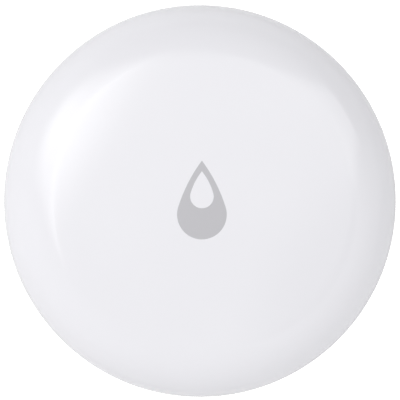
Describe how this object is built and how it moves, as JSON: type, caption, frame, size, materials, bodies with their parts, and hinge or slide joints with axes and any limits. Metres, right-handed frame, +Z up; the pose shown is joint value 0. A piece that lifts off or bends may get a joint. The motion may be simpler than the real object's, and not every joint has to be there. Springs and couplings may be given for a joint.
{
  "type": "water leak sensor",
  "caption": "Round domed water leak sensor for the floor: a press-down cover, metal probes underneath and a coin cell behind a twist-off door.",
  "frame": {"origin": "on the floor, under the middle of the round body", "axes": "+Z up out of the crown, +Y towards the tip of the drop mark, +X to the right of the mark"},
  "size_m": [0.05, 0.05, 0.015],
  "materials": {
    "cover_plastic": "polished white moulding",
    "mark_ink": "pale grey printed ink",
    "seal_rubber": "dark silicone rubber",
    "base_plastic": "fine spark-eroded white moulding",
    "board_laminate": "green solder mask on glass laminate",
    "screw_steel": "zinc-plated steel",
    "switch_plastic": "black moulded resin",
    "switch_steel": "stamped stainless steel",
    "plunger_plastic": "dark moulded resin",
    "tin_plate": "bright tin",
    "chip_resin": "black moulding resin",
    "crystal_can": "plated metal lid",
    "lamp_resin": "clear cast resin",
    "chip_ceramic": "fired ceramic",
    "copper_track": "etched copper",
    "contact_bronze": "gold-flashed spring bronze",
    "cell_steel": "nickel-plated stainless steel",
    "gasket_plastic": "black polypropylene",
    "cell_filling": "pressed powder",
    "probe_nickel": "turned brass, nickel plated"
  },
  "bodies": {
    "base": {"base_housing": "base_plastic", "cover_seal": "seal_rubber", "circuit_board": "board_laminate", "board_screws": "screw_steel", "switch_housing": "switch_plastic", "switch_frame": "switch_steel", "switch_dome": "switch_steel", "switch_terminals": "tin_plate", "radio_chip": "chip_resin", "crystal": "crystal_can", "status_led": "lamp_resin", "chip_parts": "chip_ceramic", "antenna_trace": "copper_track", "cell_positive_clip": "contact_bronze", "cell_negative_spring": "contact_bronze", "probe_left": "probe_nickel", "probe_right": "probe_nickel", "probe_seals": "seal_rubber", "probe_solder": "tin_plate"},
    "cover": {"top_cover": "cover_plastic", "drop_mark": "mark_ink"},
    "plunger": {"switch_plunger": "plunger_plastic"},
    "door_seal": {"battery_door_seal": "seal_rubber"},
    "door": {"battery_door": "base_plastic"},
    "cell": {"coin_cell_can": "cell_steel", "coin_cell_gasket": "gasket_plastic", "coin_cell_cap": "cell_steel", "coin_cell_pellet": "cell_filling"}
  },
  "joints": [
    {"name": "cover_press", "type": "slide", "parent": "base", "child": "cover", "axis": [0, 0, -1], "range_m": [0, 0.0003], "stiffness_N_per_m": 6000, "deforming": ["cover_seal"]},
    {"name": "plunger_press", "type": "slide", "parent": "base", "child": "plunger", "axis": [0, 0, -1], "range_m": [0, 0.0003], "deforming": ["switch_dome"]},
    {"name": "door_drop", "type": "slide", "parent": "base", "child": "door_seal", "axis": [0, 0, -1], "range_m": [0, 0.0151]},
    {"name": "door_turn", "type": "hinge", "parent": "door_seal", "child": "door", "pos_m": [0, 0, 0], "axis": [0, 0, -1], "range_deg": [0, 450]},
    {"name": "cell_drop", "type": "slide", "parent": "base", "child": "cell", "axis": [0, 0, -1], "range_m": [0, 0.0076]}
  ],
  "couplings": [
    {"joint": "plunger_press", "follows": "cover_press", "ratio": 1},
    {"joint": "door_drop", "follows": "door_turn", "m_per_rad": 0.0019099},
    {"joint": "cell_drop", "follows": "door_turn", "m_per_rad": 0.00095493}
  ]
}
